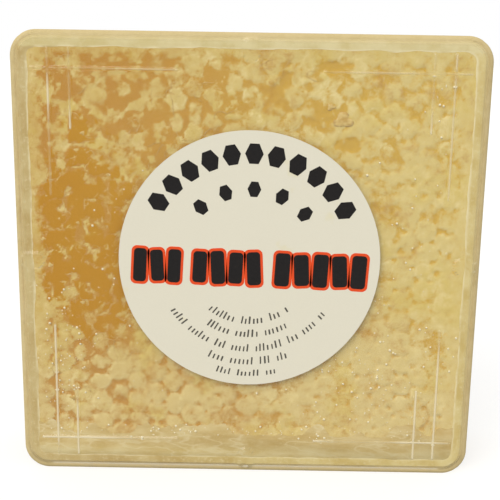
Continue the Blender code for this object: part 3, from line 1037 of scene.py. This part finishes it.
def honey_material():
    """Cloudy honey drawn out sideways, paler at the very bottom, with light folds and specks."""
    look = new_look("honey")
    mapping = {"Vector": look.place, "Scale": (0.35, 1.0, 1.0)}
    stretched = look.node("ShaderNodeMapping", mapping).outputs[0]
    cloud = look.noise(300.0, 5.0, 0.62, stretched)
    below = look.ramp(look.axis("Z"), 0.0070, 0.0045)
    low = look.mix(below, srgb(200, 172, 106), srgb(215, 192, 130))
    high = look.mix(below, srgb(219, 199, 146), srgb(231, 216, 168))
    colour = look.mix(look.ramp(cloud, 0.32, 0.68), low, high)
    fold = look.maths("ABSOLUTE", look.minus(look.noise(190.0, vector=stretched), 0.5))
    fold = look.times(look.ramp(fold, 0.03, 0.0), 0.4)
    speck = look.times(look.ramp(look.noise(1400.0), 0.55, 0.8), 0.4)
    colour = look.mix(fold, colour, srgb(236, 224, 184))
    colour = look.mix(speck, colour, srgb(226, 208, 160))
    return look.surface(colour, 0.2, 0.4, (cloud, 0.15, 0.0004))


def film_material():
    """Pale smeared honey, darker at the left, lightest along the top, with a painted highlight
    along its inner edge.
    """
    look = new_look("honey_film")
    cloud = look.noise(160.0, 4.0)
    across = drift_of(look)[0]
    top = look.ramp(look.axis("Z"), 0.1028, 0.1036)
    low = look.mix(across, srgb(188, 161, 100), srgb(202, 178, 108))
    low = look.mix(top, low, srgb(212, 196, 140))
    high = look.mix(across, srgb(207, 188, 136), srgb(222, 206, 150))
    high = look.mix(top, high, srgb(228, 216, 172))
    colour = look.mix(look.ramp(cloud, 0.32, 0.68), low, high)
    speck = look.times(look.ramp(look.noise(1300.0), 0.5, 0.8), 0.5)
    colour = look.mix(speck, colour, srgb(230, 219, 178))
    # Painted highlight along the inner edge, standing in for the light caught by the lid's inner
    # step.
    lip_highlight = look.times(look.attribute("lip_highlight"), look.ramp(look.noise(260.0), 0.3, 0.6))
    colour = look.mix(lip_highlight, colour, srgb(238, 228, 192))
    return look.surface(colour, 0.35, 0.25, (cloud, 0.1, 0.0003))


def plastic_material():
    """Clear polystyrene: faint scuffs, a honey-coloured veil by "haze", and a pale painted
    highlight on the rib crests.

    Lamps and bounced light reach what is behind it.
    """
    look = new_look("clear_plastic")
    scuffs = look.noise(420.0, 5.0, 0.65)
    tint = look.mix(scuffs, srgb(249, 246, 232), srgb(254, 253, 246))
    clear = {"Transmission Weight": 1.0, "IOR": 1.45}
    glass = look.principled(tint, 0.03, 0.22, (scuffs, 0.03, 0.0002), clear)

    # Painted highlight: a pale opaque colour on the rib crests stands in for the lamp caught there.
    crest_highlight = look.attribute("crest_highlight")
    streaks = look.noise(300.0, 4.0, 0.6)
    veil_colour = look.mix(streaks, srgb(202, 180, 126), srgb(217, 199, 152))
    veil = look.principled(look.mix(crest_highlight, veil_colour, srgb(240, 230, 200)), 0.3, 0.0)
    share = look.times(look.attribute("haze"), look.plus(0.7, look.times(streaks, 0.6)))
    body = look.blend(look.maths("MAXIMUM", share, crest_highlight), glass, veil)

    open_air = look.node("ShaderNodeBsdfTransparent", {0: srgb(253, 251, 243)}).outputs[0]
    path = look.node("ShaderNodeLightPath").outputs
    passes = look.maths("MAXIMUM", path["Is Shadow Ray"], path["Is Diffuse Ray"])
    return look.finish(look.blend(passes, body, open_air))


def paper_material():
    look = new_look("label_paper")
    fibre = look.noise(2200.0, 5.0, 0.7)
    colour = look.mix(fibre, srgb(228, 223, 203), srgb(234, 229, 210))
    stain = look.times(look.ramp(look.noise(95.0, 3.0, 0.7), 0.63, 0.74), 0.35)
    colour = look.mix(stain, colour, srgb(226, 215, 160))
    colour = look.mix(look.times(look.noise(120.0), 0.15), colour, srgb(216, 210, 188))
    return look.surface(colour, 0.55, 0.3, (fibre, 0.12, 0.00005))


def grained_material(name, low, high, scale=1800.0, detail=3.0, roughness=0.5, specular=0.15):
    """Two near colours mixed by a fine grain: ink, and the air bubbles."""
    look = new_look(name)
    colour = look.mix(look.noise(scale, detail), low, high)
    return look.surface(colour, roughness, specular)


def floor_material():
    """Pale floor that reads as white and still takes the object's shadow."""
    look = new_look("floor")
    grey = look.mix(look.noise(14.0), (0.46, 0.46, 0.455), (0.49, 0.49, 0.485))
    diffuse = look.node("ShaderNodeBsdfDiffuse", {"Color": grey}).outputs[0]
    glow = look.node("ShaderNodeEmission", {"Strength": look.times(look.seen(), 0.6)}).outputs[0]
    return look.finish(look.node("ShaderNodeAddShader", {0: diffuse, 1: glow}).outputs[0])


# ---- stage

FLOOR_SIDE = 6.0 / MM
FLOOR_STEPS = 24
ROOM_STRENGTH = 0.74
LAMP_DIRECTION = (0.45, 0.85, -0.75)
CAMERA_PLACE = (0.74, -232.62, 107.23)
CAMERA_YAW, CAMERA_DOWN, CAMERA_ROLL = 0.113, 13.015, 0.917


def make_stage():
    """White floor, a soft white room that is pure white where it is seen, and a soft lamp."""
    line = np.linspace(-FLOOR_SIDE / 2, FLOOR_SIDE / 2, FLOOR_STEPS + 1)
    vertices = [(x, y, 0.0) for y in line for x in line]
    faces = grid_faces(FLOOR_STEPS, FLOOR_STEPS, 0, False)
    floor = new_object("floor", vertices, faces, floor_material(), closed=False)

    world = bpy.data.worlds.new("studio")
    bpy.context.scene.world = world
    room = Nodes(world, "ShaderNodeOutputWorld")
    soft = {"Color": (1.0, 0.995, 0.985), "Strength": ROOM_STRENGTH}
    soft = room.node("ShaderNodeBackground", soft).outputs[0]
    white = room.node("ShaderNodeBackground", {"Color": (1.0, 1.0, 1.0)}).outputs[0]
    room.finish(room.blend(room.seen(), soft, white))

    lamp = bpy.data.lights.new("key", "SUN")
    lamp.energy = 1.5
    lamp.angle = math.radians(50)
    lamp.color = (1.0, 0.985, 0.96)
    key = link("key", lamp)
    key.rotation_euler = Vector(LAMP_DIRECTION).to_track_quat("-Z", "Y").to_euler()


def make_camera():
    """The photo's view, from a little above the middle of the lid."""
    data = bpy.data.cameras.new("camera")
    data.sensor_width = 36.0
    data.lens = 68.1
    data.clip_start = 0.01
    data.clip_end = 50.0
    camera = link("camera", data)
    place = Matrix.Translation(Vector(CAMERA_PLACE) * MM)
    yaw = Matrix.Rotation(math.radians(CAMERA_YAW), 4, "Z")
    pitch = Matrix.Rotation(math.radians(90 - CAMERA_DOWN), 4, "X")
    roll = Matrix.Rotation(math.radians(CAMERA_ROLL), 4, "Z")
    camera.matrix_world = place @ yaw @ pitch @ roll
    bpy.context.scene.camera = camera


# ---- the pack

def main():
    make_camera()
    wax = pale_wax_material()
    comb = make_comb(comb_material())
    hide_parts("comb")
    threads = make_threads(wax)
    flakes = make_flakes(wax)
    honey = make_honey(honey_material())
    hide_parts("honey")
    pale = srgb(240, 228, 190), srgb(252, 247, 228)
    air = grained_material("air_bubble", *pale, 2500.0, 2.0, 0.12, 0.6)
    bubbles = make_bubbles(air)
    black = grained_material("black_ink", srgb(20, 18, 18), srgb(34, 31, 30))
    orange = grained_material("orange_ink", srgb(232, 76, 34), srgb(238, 88, 44))
    grey = grained_material("grey_ink", srgb(80, 77, 70), srgb(100, 97, 88))
    label_pieces = make_label(paper_material(), black, orange, grey)
    for piece in [comb, threads, flakes, honey, bubbles, *label_pieces]:
        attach(piece, "root")

    plastic = plastic_material()
    lid, tray = make_lid(plastic), make_tray(plastic)
    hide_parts("box_lid")
    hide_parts("box_base")
    for piece in (lid, tray):
        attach(piece, "root")
    film = make_film(film_material())
    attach(film, "root")

    make_stage()
    bpy.context.scene.view_settings.view_transform = "Standard"


main()
